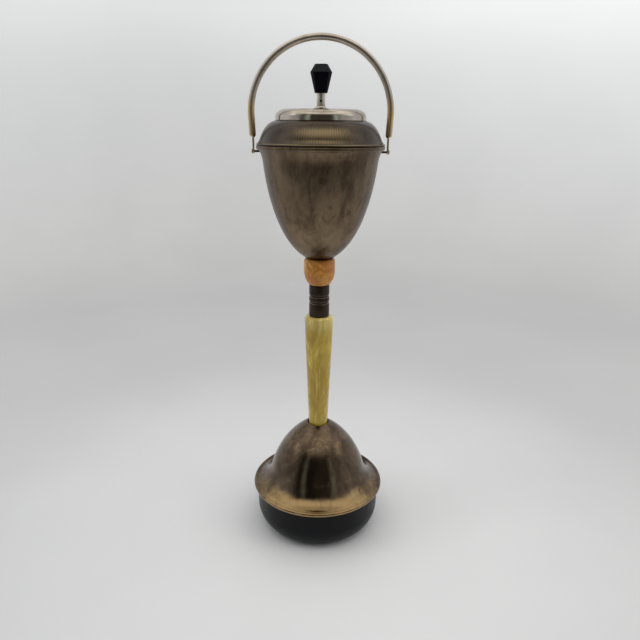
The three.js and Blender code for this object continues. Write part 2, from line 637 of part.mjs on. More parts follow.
// ---- Handle -------------------------------------------------------------------------------------
class Bail extends THREE.Curve {
  // Straight leg, half circle, straight leg; the legs lean inwards a little.
  constructor() {
    super();
    this.leg = HANDLE_BEND_Z - HANDLE_END_Z;
    this.bow = Math.PI * HANDLE_BEND_R;
  }

  onLeg(side, height, target) {
    const x = HANDLE_BEND_R - HANDLE_LEAN * (1 - height / this.leg);
    return target.set(side * x, 0, HANDLE_END_Z + height);
  }

  getPoint(t, target = new THREE.Vector3()) {
    const total = this.bow + 2 * this.leg;
    const s = t * total;
    if (s < this.leg) return this.onLeg(-1, s, target);
    if (s > this.leg + this.bow) return this.onLeg(1, total - s, target);
    const angle = Math.PI - (s - this.leg) / HANDLE_BEND_R;
    return target.set(HANDLE_BEND_R * Math.cos(angle), 0, HANDLE_BEND_Z + HANDLE_BEND_R * Math.sin(angle));
  }
}

function tubeAlong(path, r, wall, steps, sides) {
  const section = new THREE.Shape(arc(0, 0, r, r, 0, 360, sides).slice(0, -1));
  section.holes.push(new THREE.Path(arc(0, 0, r - wall, r - wall, 0, -360, sides).slice(0, -1)));
  return new THREE.ExtrudeGeometry(section, { steps, bevelEnabled: false, extrudePath: path });
}

// Flat strip with a rounded lower end round the pivot and a tongue inside the tube.
function lug(side) {
  const half = LUG_W / 2;
  const tongue = TONGUE_W / 2;
  const neckZ = HANDLE_END_Z - 0.4;
  const topZ = HANDLE_END_Z + 9;
  const eyeR = STUD_R + FIT;
  const outline = [
    V2(tongue, topZ), V2(-tongue, topZ), V2(-tongue, neckZ), V2(-half, neckZ),
    ...arc(0, PIVOT_Z, half, half, -180, 0, 8),
    V2(half, neckZ), V2(tongue, neckZ),
  ];
  const shape = new THREE.Shape(outline);
  shape.holes.push(new THREE.Path(arc(0, PIVOT_Z, eyeR, eyeR, 0, -360, 12).slice(0, -1)));
  const plate = new THREE.ExtrudeGeometry(shape, { depth: LUG_T, bevelEnabled: false });
  plate.applyMatrix4(new THREE.Matrix4().makeBasis(V3(0, 1, 0), V3(0, 0, 1), V3(1, 0, 0)));
  const x0 = side > 0 ? LUG_INNER_X : -LUG_INNER_X - LUG_T;
  return plate.translate(x0, 0, 0);
}

function buildHandle() {
  add('handle_tube', tubeAlong(new Bail(), HANDLE_TUBE_R, HANDLE_WALL, 26, 8), GOLD_BRASS);
  const headR = 2.4;
  const headX = LUG_INNER_X + LUG_T + FIT;
  const stud = [
    V2(0, STUD_INNER_X), V2(STUD_R, STUD_INNER_X), V2(STUD_R, headX), V2(headR, headX),
    V2(headR * 0.9, headX + 0.5), V2(headR * 0.5, headX + 1), V2(0, headX + 1),
  ];
  for (const [label, side] of [['left', -1], ['right', 1]]) {
    add(`handle_lug_${label}`, lug(side), GOLD_BRASS);
    const turn = side > 0 ? 0 : Math.PI;
    add(`pivot_stud_${label}`, alongX(turned(stud)).translate(0, 0, PIVOT_Z).rotateZ(turn), DARK_BRONZE);
  }
}

buildFoot();
buildDome();
buildColumn();
buildBowl();
buildCover();
buildRing();
buildBridge();
buildRotor();
buildSpring();
buildKnob();
buildHandle();

export default group;
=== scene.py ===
"""Looks of a standing push-down ashtray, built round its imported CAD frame.

The scene is in metres. Outlines are written in millimetres.
"""
import math

import bmesh
import bpy
from mathutils import Matrix, Vector, noise


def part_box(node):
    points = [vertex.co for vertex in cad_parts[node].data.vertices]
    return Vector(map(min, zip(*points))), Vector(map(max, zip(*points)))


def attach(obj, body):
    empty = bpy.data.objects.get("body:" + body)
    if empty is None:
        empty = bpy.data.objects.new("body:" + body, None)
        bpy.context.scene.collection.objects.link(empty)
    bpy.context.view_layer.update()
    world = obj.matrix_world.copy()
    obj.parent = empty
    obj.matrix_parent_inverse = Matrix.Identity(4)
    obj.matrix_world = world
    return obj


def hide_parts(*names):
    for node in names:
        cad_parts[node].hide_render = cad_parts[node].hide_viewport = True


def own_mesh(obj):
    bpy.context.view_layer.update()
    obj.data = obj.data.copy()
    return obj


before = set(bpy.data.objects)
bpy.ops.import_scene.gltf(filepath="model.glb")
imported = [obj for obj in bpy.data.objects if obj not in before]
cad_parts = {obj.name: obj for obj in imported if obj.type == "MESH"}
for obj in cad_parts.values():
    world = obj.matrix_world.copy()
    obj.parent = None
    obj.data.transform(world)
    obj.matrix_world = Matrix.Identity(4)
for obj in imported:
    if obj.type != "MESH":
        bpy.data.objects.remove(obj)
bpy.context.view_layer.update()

MM = 0.001
TURN_STEPS = 160        # facets round a large turned piece
SMALL_STEPS = 64        # facets round a small turned piece
SHEET = 1.0             # wall of the spun shells, mm
BORE_R = 4.6            # hole for the tie rod, mm
SHARP = math.radians(38)    # edges sharper than this stay crisp


class Size:
    """A CAD node's box in millimetres: radius across X, and lowest and highest z."""

    def __init__(self, node):
        low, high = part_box(node)
        self.low = low / MM
        self.high = high / MM
        self.r = (self.high.x - self.low.x) / 2
        self.z0 = self.low.z
        self.z1 = self.high.z
        self.h = self.z1 - self.z0


# ---- Outlines, as (r, z) in millimetres --------------------------------------------------------------

def arc(centre, radii, start, end, steps=10):
    points = []
    for i in range(steps + 1):
        a = math.radians(start + (end - start) * i / steps)
        points.append((centre[0] + radii[0] * math.cos(a), centre[1] + radii[1] * math.sin(a)))
    return points


def bezier(p0, p1, p2, p3, steps=24):
    points = []
    for i in range(steps + 1):
        t = i / steps
        s = 1 - t
        w = (s * s * s, 3 * s * s * t, 3 * s * t * t, t * t * t)
        points.append(tuple(sum(k * p[axis] for k, p in zip(w, (p0, p1, p2, p3))) for axis in (0, 1)))
    return points


def rounded(corners, steps=4):
    """Closed outline through (r, z) or (r, z, radius): corners with a radius get a small round."""
    points = []
    count = len(corners)
    for i, corner in enumerate(corners):
        here = Vector(corner[:2])
        if len(corner) == 2:
            points.append(tuple(here))
            continue
        before = Vector(corners[i - 1][:2]) - here
        after = Vector(corners[(i + 1) % count][:2]) - here
        reach = min(corner[2], before.length * 0.48, after.length * 0.48)
        start = here + before.normalized() * reach
        end = here + after.normalized() * reach
        for k in range(steps + 1):
            t = k / steps
            points.append(tuple(start * (1 - t) ** 2 + here * 2 * t * (1 - t) + end * t * t))
    return points


def offset(points, distance):
    """The outline moved sideways, to the left of its direction of travel."""
    moved = []
    for i, point in enumerate(points):
        before = Vector(points[max(i - 1, 0)])
        after = Vector(points[min(i + 1, len(points) - 1)])
        along = (after - before).normalized()
        moved.append((point[0] - along.y * distance, point[1] + along.x * distance))
    return moved


# ---- Meshes ------------------------------------------------------------------------------------------

def finish_mesh(name, bm, sharp=SHARP):
    bmesh.ops.remove_doubles(bm, verts=bm.verts, dist=1e-7)
    bmesh.ops.recalc_face_normals(bm, faces=bm.faces)
    mesh = bpy.data.meshes.new(name)
    bm.to_mesh(mesh)
    bm.free()
    mesh.shade_smooth()
    mesh.set_sharp_from_angle(angle=sharp)
    piece = bpy.data.objects.new(name, mesh)
    bpy.context.scene.collection.objects.link(piece)
    return piece


def turned(name, outline, steps=TURN_STEPS, closed=True):
    """An outline turned about Z: a solid when the outline is closed, otherwise an open sheet."""
    bm = bmesh.new()
    columns = []
    for r, z in outline:
        if r < 1e-6:
            columns.append([bm.verts.new((0, 0, z * MM))])
            continue
        ring = []
        for k in range(steps):
            a = 2 * math.pi * k / steps
            ring.append(bm.verts.new((r * MM * math.cos(a), r * MM * math.sin(a), z * MM)))
        columns.append(ring)
    following = columns[1:] + columns[:1] if closed else columns[1:]
    for lower, upper in zip(columns, following):
        if len(lower) == 1 and len(upper) == 1:
            continue
        for k in range(steps):
            n = (k + 1) % steps
            below = [lower[k % len(lower)], lower[n % len(lower)]]
            above = [upper[n % len(upper)], upper[k % len(upper)]]
            bm.faces.new(list(dict.fromkeys(below + above)))
    return finish_mesh(name, bm)


def swept(name, points, section, frames=None):
    """A bar through the points. section(i) gives the (across, up) points of its outline there."""
    bm = bmesh.new()
    rings = []
    count = len(points)
    for i, point in enumerate(points):
        if frames:
            across, up = frames[i]
        else:
            along = (points[min(i + 1, count - 1)] - points[max(i - 1, 0)]).normalized()
            up = Vector((0, 0, 1)) - along * along.z
            up = up.normalized()
            across = along.cross(up)
        rings.append([bm.verts.new(point + across * a + up * b) for a, b in section(i)])
    for first, second in zip(rings, rings[1:]):
        n = len(first)
        for k in range(n):
            bm.faces.new((first[k], first[(k + 1) % n], second[(k + 1) % n], second[k]))
    bm.faces.new(rings[0])
    bm.faces.new(list(reversed(rings[-1])))
    return finish_mesh(name, bm)


def place(piece, body, slot, material, *nodes):
    """Gives a piece its finish, its CAD body and the CAD nodes it stands for."""
    piece.data.materials.clear()
    piece.data.materials.append(material)
    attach(piece, body)
    if nodes:
        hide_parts(*nodes)
    return piece


# ---- Materials ---------------------------------------------------------------------------------------

class Shader:
    """A node material with a Principled surface, and short ways to add the nodes it needs."""

    def __init__(self, name):
        self.material = bpy.data.materials.new(name)
        self.material.use_nodes = True
        self.tree = self.material.node_tree
        self.surface = self.tree.nodes["Principled BSDF"]
        split = self.tree.nodes.new("ShaderNodeSeparateXYZ")
        self.tree.links.new(self.coordinates(), split.inputs[0])
        self.x, self.y, self.z = split.outputs

    def coordinates(self):
        if not hasattr(self, "object_space"):
            node = self.tree.nodes.new("ShaderNodeTexCoord")
            self.object_space = node.outputs["Object"]
        return self.object_space

    def put(self, value, socket):
        if isinstance(value, bpy.types.NodeSocket):
            self.tree.links.new(value, socket)
        elif hasattr(value, "__len__") and len(value) == 3 and len(socket.default_value) == 4:
            socket.default_value = (*value, 1.0)
        else:
            socket.default_value = value

    def math(self, operation, a, b=0.0):
        node = self.tree.nodes.new("ShaderNodeMath")
        node.operation = operation
        self.put(a, node.inputs[0])
        self.put(b, node.inputs[1])
        return node.outputs[0]

    def radius(self):
        x_squared = self.math("MULTIPLY", self.x, self.x)
        y_squared = self.math("MULTIPLY", self.y, self.y)
        return self.math("SQRT", self.math("ADD", x_squared, y_squared))

    def azimuth(self):
        """0 at the front (-Y), positive towards +X, in radians."""
        return self.math("ARCTAN2", self.x, self.math("MULTIPLY", self.y, -1.0))

    def vector(self, x, y, z):
        node = self.tree.nodes.new("ShaderNodeCombineXYZ")
        for value, socket in zip((x, y, z), node.inputs):
            self.put(value, socket)
        return node.outputs[0]

    def stretched(self, x, y, z):
        node = self.tree.nodes.new("ShaderNodeMapping")
        self.tree.links.new(self.coordinates(), node.inputs["Vector"])
        node.inputs["Scale"].default_value = (x, y, z)
        return node.outputs[0]

    def noise(self, scale, detail=4.0, roughness=0.55, distortion=0.0, vector=None):
        node = self.tree.nodes.new("ShaderNodeTexNoise")
        self.put(vector or self.coordinates(), node.inputs["Vector"])
        node.inputs["Scale"].default_value = scale
        node.inputs["Detail"].default_value = detail
        node.inputs["Roughness"].default_value = roughness
        node.inputs["Distortion"].default_value = distortion
        return node.outputs["Fac"]

    def cells(self, scale):
        node = self.tree.nodes.new("ShaderNodeTexVoronoi")
        self.put(self.coordinates(), node.inputs["Vector"])
        node.inputs["Scale"].default_value = scale
        return node.outputs["Distance"]

    def span(self, value, low, high, out_low=0.0, out_high=1.0, smooth=True):
        """Maps low..high to out_low..out_high, held at the ends. low may be above high."""
        node = self.tree.nodes.new("ShaderNodeMapRange")
        node.interpolation_type = "SMOOTHSTEP" if smooth else "LINEAR"
        if low > high:
            low, high, out_low, out_high = high, low, out_high, out_low
        self.put(value, node.inputs["Value"])
        labels = ("From Min", "From Max", "To Min", "To Max")
        for label, number in zip(labels, (low, high, out_low, out_high)):
            node.inputs[label].default_value = number
        return node.outputs["Result"]

    def bell(self, value, centre, width):
        """1 at the centre, falling to 0 a width away on either side."""
        away = self.math("ABSOLUTE", self.math("SUBTRACT", value, centre))
        return self.span(away, width, 0.0)

    def mix(self, share, a, b):
        node = self.tree.nodes.new("ShaderNodeMix")
        node.data_type = "RGBA"
        self.put(share, node.inputs["Factor"])
        self.put(a, node.inputs["A"])
        self.put(b, node.inputs["B"])
        return node.outputs["Result"]

    def bump(self, height, distance, strength=1.0, after=None):
        node = self.tree.nodes.new("ShaderNodeBump")
        node.inputs["Strength"].default_value = strength
        node.inputs["Distance"].default_value = distance
        self.put(height, node.inputs["Height"])
        if after is not None:
            self.tree.links.new(after, node.inputs["Normal"])
        return node.outputs["Normal"]

    def tangent(self):
        node = self.tree.nodes.new("ShaderNodeTangent")
        node.direction_type = "RADIAL"
        node.axis = "Z"
        return node.outputs["Tangent"]

    def set(self, **values):
        """Sets surface inputs: base_color=..., coat_weight=... and so on."""
        names = {key.lower().replace(" ", "_"): key for key in self.surface.inputs.keys()}
        for key, value in values.items():
            self.put(value, self.surface.inputs[names[key]])
        return self.material


def brass(name, dark, mid, gold, wear_and_painted_light, roughness, streak, spun, cloud, ragged, stain):
    """Aged brass: cloudy brown patina over a lighter metal, spinning marks, smudges and small pits.

    The function given for the golden share gives, 0 to 1, how much lighter golden metal there is at a place:
    rubbed metal on some pieces, a painted reflection and painted highlights on others; ragged breaks it up.
    streak is the share of upright drips, spun the depth of the spinning marks, and cloud the softness
    of the patina's patches. stain is the strength of its dark spots.
    """
    s = Shader(name)
    broad = s.noise(22, 5, 0.6, 0.6, s.stretched(1.0, 1.0, 0.55))
    patches = s.noise(75, 6, 0.65, 1.2, s.stretched(1.0, 1.0, 0.7))
    fine = s.noise(900, 3, 0.6)
    drips = s.noise(60, 4, 0.6, 0.3, s.stretched(1.0, 1.0, 0.12))
    cover = s.math("ADD", s.math("MULTIPLY", broad, 0.55), s.math("MULTIPLY", patches, 0.45))
    drip_share = streak * 0.4
    cover = s.math("ADD", s.math("MULTIPLY", cover, 1.0 - drip_share), s.math("MULTIPLY", drips, drip_share))
    tone = s.mix(s.span(cover, 0.5 - 0.12 * cloud, 0.5 + 0.16 * cloud), dark, mid)
    stains = s.noise(34, 7, 0.7, 1.9, s.stretched(1.0, 1.0, 0.45))
    tone = s.mix(s.math("MULTIPLY", s.span(stains, 0.53, 0.66), stain), tone, tuple(0.5 * c for c in dark))
    tone = s.mix(s.math("MULTIPLY", s.span(fine, 0.55, 0.75), 0.2), tone, gold)
    # The golden share: rubbed metal on some pieces, a painted reflection and painted highlights on others.
    if wear_and_painted_light is not None:
        wear_and_light_share = s.math("ADD", wear_and_painted_light(s), s.math("MULTIPLY", s.math("SUBTRACT", patches, 0.5), ragged))
        tone = s.mix(s.math("MULTIPLY", s.span(wear_and_light_share, 0.15, 0.95), 0.92), tone, gold)
    rings = s.noise(1.0, 2, 0.7, 0.0, s.vector(0.0, 0.0, s.math("MULTIPLY", s.z, 5200.0)))
    rings_wide = s.noise(1.0, 3, 0.6, 0.0, s.vector(0.0, 0.0, s.math("MULTIPLY", s.z, 420.0)))
    rough = s.span(s.math("ADD", s.math("MULTIPLY", cover, 0.7), s.math("MULTIPLY", rings_wide, 0.3)),
                   0.35, 0.65, roughness[0], roughness[1])
    scratches = s.noise(2600, 2, 0.5, 0.0, s.stretched(1.0, 1.0, 0.25))
    normal = s.bump(rings, 0.00002, 0.35 * spun)
    normal = s.bump(scratches, 0.00001, 0.22, normal)
    normal = s.bump(s.noise(55, 3, 0.5), 0.00035, 0.35, normal)
    return s.set(base_color=tone, metallic=1.0, roughness=rough, normal=normal,
                 anisotropic=0.45 * spun, tangent=s.tangent())


def plated(name, colour, shade, roughness=(0.07, 0.2), spots=0.5):
    """Polished plating with haze, fingerprints and a few dull specks."""
    s = Shader(name)
    haze = s.noise(60, 5, 0.6, 0.8)
    specks = s.span(s.cells(700), 0.10, 0.03)
    specks = s.math("MULTIPLY", specks, s.math("MULTIPLY", s.span(s.noise(40, 2), 0.52, 0.62), spots))
    tone = s.mix(s.span(haze, 0.4, 0.68), colour, shade)
    tone = s.mix(specks, tone, (0.16, 0.13, 0.10))
    rough = s.span(haze, 0.38, 0.7, roughness[0], roughness[1])
    rough = s.math("ADD", rough, s.math("MULTIPLY", specks, 0.4))
    normal = s.bump(s.noise(1800, 2, 0.5), 0.000006, 0.25)
    normal = s.bump(s.noise(38, 2, 0.5), 0.0003, 0.3, normal)
    return s.set(base_color=tone, metallic=1.0, roughness=rough, normal=normal)


def hardware(name, colour, shade, roughness=(0.3, 0.5)):
    """Zinc-plated or turned inner parts: dull metal with turning marks and stains."""
    s = Shader(name)
    stain = s.noise(140, 5, 0.65, 0.9)
    grain = s.noise(2200, 3, 0.6)
    tone = s.mix(s.span(stain, 0.42, 0.66), colour, shade)
    rough = s.span(s.math("ADD", s.math("MULTIPLY", stain, 0.6), s.math("MULTIPLY", grain, 0.4)),
                   0.38, 0.64, roughness[0], roughness[1])
    return s.set(base_color=tone, metallic=1.0, roughness=rough, normal=s.bump(grain, 0.00002, 0.4))


def onyx_material(low_z, high_z):
    """Polished green-yellow onyx with cloudy lengthwise veins and a painted glow of light that makes its top
    paler.
    """
    s = Shader("onyx")
    warp = s.noise(26, 3, 0.5, 0.0, s.stretched(1.0, 1.0, 0.35))
    veins = s.noise(95, 7, 0.62, 2.4, s.stretched(1.0, 1.0, 0.16))
    clouds = s.noise(34, 6, 0.6, 1.5, s.stretched(1.0, 1.0, 0.4))
    bands = s.math("SINE", s.math("ADD", s.math("MULTIPLY", s.x, 380.0), s.math("MULTIPLY", warp, 26.0)))
    tone = s.mix(s.span(clouds, 0.38, 0.66), (0.42, 0.270, 0.026), (0.58, 0.425, 0.055))
    tone = s.mix(s.math("MULTIPLY", s.span(veins, 0.52, 0.66), 0.75), tone, (0.74, 0.59, 0.15))
    tone = s.mix(s.math("MULTIPLY", s.span(bands, 0.55, 1.0), 0.3), tone, (0.34, 0.27, 0.026))
    rusty = s.span(s.noise(160, 4, 0.6, 1.0), 0.62, 0.72)
    tone = s.mix(s.math("MULTIPLY", rusty, 0.5), tone, (0.42, 0.20, 0.04))
    span_z = high_z - low_z
    # Painted light: the top is paler, as if light shone through the stone.
    top = s.span(s.z, high_z - 0.16 * span_z, high_z - 0.02 * span_z)
    top = s.math("MULTIPLY", top, s.span(clouds, 0.35, 0.62, 0.25, 0.85))
    tone = s.mix(top, tone, (0.78, 0.70, 0.28))
    rough = s.span(clouds, 0.3, 0.7, 0.12, 0.24)
    normal = s.bump(s.noise(420, 4, 0.6), 0.00003, 0.3)
    normal = s.bump(veins, 0.00012, 0.25, normal)
    return s.set(base_color=tone, roughness=rough, normal=normal, subsurface_weight=0.35,
                 subsurface_radius=(0.010, 0.008, 0.002), subsurface_scale=0.6, specular_ior_level=0.4,
                 coat_weight=0.25, coat_roughness=0.1)


def bead_material():
    """Orange-brown mottled stone with pale and reddish patches."""
    s = Shader("amber_stone")
    patches = s.noise(85, 6, 0.65, 1.3)
    speckle = s.noise(520, 4, 0.65, 0.4)
    red = s.noise(48, 3, 0.5, 0.7)
    tone = s.mix(s.span(patches, 0.4, 0.62), (0.50, 0.200, 0.030), (0.74, 0.37, 0.075))
    tone = s.mix(s.math("MULTIPLY", s.span(patches, 0.60, 0.72), 0.7), tone, (0.88, 0.60, 0.20))
    tone = s.mix(s.math("MULTIPLY", s.span(red, 0.52, 0.66), 0.55), tone, (0.46, 0.155, 0.045))
    tone = s.mix(s.math("MULTIPLY", s.span(speckle, 0.54, 0.66), 0.75), tone, (0.24, 0.09, 0.02))
    rough = s.span(speckle, 0.35, 0.65, 0.28, 0.5)
    normal = s.bump(speckle, 0.00012, 0.35)
    return s.set(base_color=tone, roughness=rough, normal=normal, subsurface_weight=0.06,
                 subsurface_radius=(0.006, 0.003, 0.001), subsurface_scale=0.5, specular_ior_level=0.35,
                 coat_weight=0.1, coat_roughness=0.2)


def enamel_material():
    """Satin black enamel with faint orange peel, dust and rubbed spots low on the wall."""
    s = Shader("black_enamel")
    dust = s.noise(1500, 3, 0.7)
    cloud = s.noise(40, 5, 0.6, 0.8)
    scuffs = s.span(s.noise(210, 5, 0.7, 1.5, s.stretched(1.0, 1.0, 2.2)), 0.66, 0.74)
    low = s.span(s.z, 0.024, 0.010)
    tone = s.mix(s.span(cloud, 0.35, 0.7), (0.0017, 0.0020, 0.0034), (0.0036, 0.0040, 0.0060))
    tone = s.mix(s.math("MULTIPLY", s.span(dust, 0.66, 0.76), 0.16), tone, (0.10, 0.10, 0.10))
    tone = s.mix(s.math("MULTIPLY", s.math("MULTIPLY", scuffs, low), 0.5), tone, (0.12, 0.12, 0.12))
    rough = s.span(cloud, 0.3, 0.7, 0.30, 0.42)
    normal = s.bump(s.noise(700, 2, 0.5), 0.00004, 0.25)
    return s.set(base_color=tone, roughness=rough, normal=normal, specular_ior_level=0.16)


def plastic_material():
    """Glossy black plastic, a little dulled, with fine scratches on the edges."""
    s = Shader("black_plastic")
    cloud = s.noise(120, 4, 0.6, 0.5)
    scratch = s.noise(1400, 3, 0.6, 0.6, s.stretched(1.0, 0.3, 1.6))
    tone = s.mix(s.span(cloud, 0.35, 0.7), (0.0020, 0.0020, 0.0055), (0.0042, 0.0042, 0.0090))
    tone = s.mix(s.math("MULTIPLY", s.span(scratch, 0.62, 0.74), 0.12), tone, (0.2, 0.2, 0.22))
    rough = s.span(scratch, 0.35, 0.7, 0.16, 0.34)
    normal = s.bump(scratch, 0.00002, 0.3)
    return s.set(base_color=tone, roughness=rough, normal=normal, specular_ior_level=0.2)


def felt_material():
    s = Shader("felt")
    fibre = s.noise(2600, 5, 0.75, 1.8)
    clump = s.noise(300, 4, 0.6, 0.6)
    tone = s.mix(s.span(fibre, 0.35, 0.7), (0.010, 0.010, 0.010), (0.035, 0.034, 0.033))
    tone = s.mix(s.math("MULTIPLY", s.span(clump, 0.5, 0.7), 0.4), tone, (0.05, 0.048, 0.045))
    return s.set(base_color=tone, roughness=0.95, normal=s.bump(fibre, 0.0002, 0.6),
                 sheen_weight=0.4, sheen_roughness=0.5)


def iron_material():
    s = Shader("cast_iron")
    skin = s.noise(420, 6, 0.7, 0.5)
    rust = s.noise(60, 5, 0.65, 1.0)
    tone = s.mix(s.span(skin, 0.35, 0.7), (0.045, 0.045, 0.047), (0.085, 0.083, 0.08))
    tone = s.mix(s.math("MULTIPLY", s.span(rust, 0.56, 0.70), 0.6), tone, (0.13, 0.055, 0.022))
    return s.set(base_color=tone, metallic=0.55, roughness=0.75, normal=s.bump(skin, 0.0004, 0.7))


def bowl_wear(s):
    """A broad soft patch low on the bowl, where hands steady it."""
    return s.math("MULTIPLY", s.bell(s.z, 0.392, 0.045), 0.5)


def cover_painted_reflection(s):
    """A painted reflection: a golden patch at the front of the shoulder, crossed by fine upright lines, and a
    painted highlight along the flared edge.
    """
    azimuth = s.azimuth()
    # Painted reflection: a warm patch at the front of the shoulder.
    front = s.math("MULTIPLY", s.bell(azimuth, 0.03, 0.85), s.bell(s.z, 0.4995, 0.015))
    lines = s.math("SINE", s.math("MULTIPLY", azimuth, 153.0))
    shade = s.math("SUBTRACT", 1.0, s.math("MULTIPLY", s.span(lines, 0.1, 1.0), 0.4))
    # Painted highlight along the flared edge.
    edge = s.math("MULTIPLY", s.bell(s.radius(), 0.0712, 0.0013), 0.8)
    return s.math("MAXIMUM", s.math("MULTIPLY", s.math("MULTIPLY", front, 1.15), shade), edge)


def dome_gold_mask(s):
    """The flange is lighter and more golden, most of all at the front, and so is the crown in patches."""
    flange = s.span(s.radius(), 0.0625, 0.072)
    front = s.span(s.math("ABSOLUTE", s.azimuth()), 1.7, 0.45, 0.2, 0.9)
    crown = s.math("MULTIPLY", s.bell(s.z, 0.124, 0.020), 0.28)
    return s.math("MAXIMUM", s.math("MULTIPLY", flange, front), crown)


def handle_gold_mask(s):
    """The legs are golden; the bow above is greyer."""
    return s.span(s.z, 0.560, 0.515, 0.05, 0.9)


def collar_painted_highlights(s):
    """Painted highlights: thin lighter lines on the edges of the grooves."""
    edges = [s.bell(s.z, z * MM, 0.0005) for z in COLLAR_HIGHLIGHT_LINES]
    share = edges[0]
    for edge in edges[1:]:
        share = s.math("MAXIMUM", share, edge)
    return s.math("MULTIPLY", share, 0.9)


BROWN = (0.094, 0.066, 0.042)
OLIVE = (0.200, 0.147, 0.094)
GREY_BROWN = (0.066, 0.053, 0.043)
GOLD = (0.36, 0.247, 0.119)
UMBER = (0.032, 0.023, 0.017)
GROOVES = (305.8, 313.9)        # the collar's two grooves, mm
GROOVE_H = 1.8
# Heights of the collar's painted highlight lines, mm.
COLLAR_HIGHLIGHT_LINES = tuple(z + side for z in GROOVES for side in (-GROOVE_H / 2 - 0.35, GROOVE_H / 2 + 0.35))
stem = Size("onyx_stem")

paint = {
    "bowl": brass("aged_brass_bowl", BROWN, OLIVE, (0.27, 0.195, 0.120), bowl_wear,
                  roughness=(0.25, 0.42), streak=1.2, spun=0.7, cloud=0.65, ragged=0.9, stain=0.6),
    "cover": brass("aged_brass_cover", GREY_BROWN, (0.102, 0.082, 0.065), (0.255, 0.193, 0.109), cover_painted_reflection,
                   roughness=(0.18, 0.30), streak=0.3, spun=0.9, cloud=1.3, ragged=0.3, stain=0.2),
    "dome": brass("aged_brass_dome", (0.092, 0.065, 0.044), (0.185, 0.136, 0.092), GOLD, dome_gold_mask,
                  roughness=(0.09, 0.21), streak=0.9, spun=0.35, cloud=0.7, ragged=1.5, stain=0.5),
    "handle": brass("handle_brass", (0.60, 0.53, 0.455), (0.73, 0.65, 0.55), (0.72, 0.53, 0.29), handle_gold_mask,
                    roughness=(0.28, 0.40), streak=0.2, spun=0.0, cloud=1.0, ragged=0.6, stain=0.4),
    "gold": brass("golden_brass", (0.38, 0.28, 0.13), (0.50, 0.37, 0.17), (0.62, 0.45, 0.2), None,
                  roughness=(0.2, 0.34), streak=0.3, spun=0.5, cloud=1.0, ragged=0.9, stain=0.4),
    "bronze": brass("dark_bronze", UMBER, (0.064, 0.046, 0.033), (0.34, 0.27, 0.20), collar_painted_highlights,
                    roughness=(0.28, 0.42), streak=0.2, spun=0.8, cloud=1.0, ragged=0.4, stain=0.4),
    "nickel": plated("nickel", (0.58, 0.52, 0.45), (0.45, 0.395, 0.33), (0.10, 0.22)),
    "satin": plated("satin_nickel", (0.80, 0.735, 0.64), (0.64, 0.58, 0.49), (0.30, 0.44)),
    "steel": hardware("steel", (0.42, 0.42, 0.41), (0.26, 0.25, 0.235)),
    "onyx": onyx_material(stem.z0 * MM, stem.z1 * MM),
    "stone": bead_material(),
    "enamel": enamel_material(),
    "plastic": plastic_material(),
    "felt": felt_material(),
    "iron": iron_material(),
}


# ---- Foot and dome -----------------------------------------------------------------------------------

def build_foot():
    foot = Size("foot_shell")
    wall = 2.5
    bottom_r = foot.r - 19.5
    belly = foot.z0 + 27
    recess_z = foot.z0 + 8
    outline = [
        (BORE_R, recess_z), (18.5, recess_z, 1.0), (21.5, foot.z0, 1.0), (bottom_r - 4, foot.z0),
        *arc((bottom_r, belly), (foot.r - bottom_r, belly - foot.z0), -90, 0, 36),
        (foot.r, foot.z1 - 1.2), (foot.r, foot.z1, 0.8), (foot.r - wall, foot.z1, 0.8),
        *arc((bottom_r, belly), (foot.r - bottom_r - wall, belly - foot.z0 - wall), 0, -90, 20),
        (24, foot.z0 + wall), (21, recess_z + wall), (BORE_R, recess_z + wall),
    ]
    place(turned("foot_shell_fine", rounded(outline)), "stand", "black_enamel", paint["enamel"], "foot_shell")

    pad = Size("foot_pad")
    felt = rounded([(24, pad.z0, 0.6), (pad.r, pad.z0, 0.9), (pad.r, pad.z1, 0.5), (24, pad.z1, 0.5)])
    place(turned("foot_pad_fine", felt, 120), "stand", "felt", paint["felt"], "foot_pad")


def build_dome():
    dome = Size("base_dome")
    waist = (dome.r - 24.9, dome.z0 + 29)
    crown = (14.2, dome.z1)
    cup_r, cup_z = 13.2, dome.z1 - 5
    roll_r = 2.75
    roll = arc((dome.r - roll_r, dome.z0 + roll_r), (roll_r, roll_r), -90, 92, 18)
    lip = arc((dome.r - 3.6, dome.z0 + 5.35), (0.55, 0.5), 20, 160, 6)
    flare_foot = (dome.r - 4.6, dome.z0 + 5.0)
    flare = bezier(flare_foot, (dome.r - 10.7, dome.z0 + 6.6), (63.5, dome.z0 + 15), waist, 26)
    side = bezier(waist, (49, dome.z0 + 62.2), (27, dome.z0 + 80.4), crown, 40)
    outer = [*flare, *side[1:]]
    inner = offset(outer, SHEET)
    inner.reverse()
    outline = [
        (73.5, dome.z0), *roll, *lip, *outer,
        (cup_r + 0.5, dome.z1 + 0.05), (cup_r, dome.z1 - 0.6), (cup_r, cup_z), (BORE_R, cup_z),
        (BORE_R, cup_z - SHEET), (cup_r + SHEET, cup_z - SHEET), *inner[2:-1], (73.5, dome.z0 + 5),
    ]
    place(turned("base_dome_fine", outline, 192), "stand", "aged_brass", paint["dome"], "base_dome")


# ---- Column ------------------------------------------------------------------------------------------

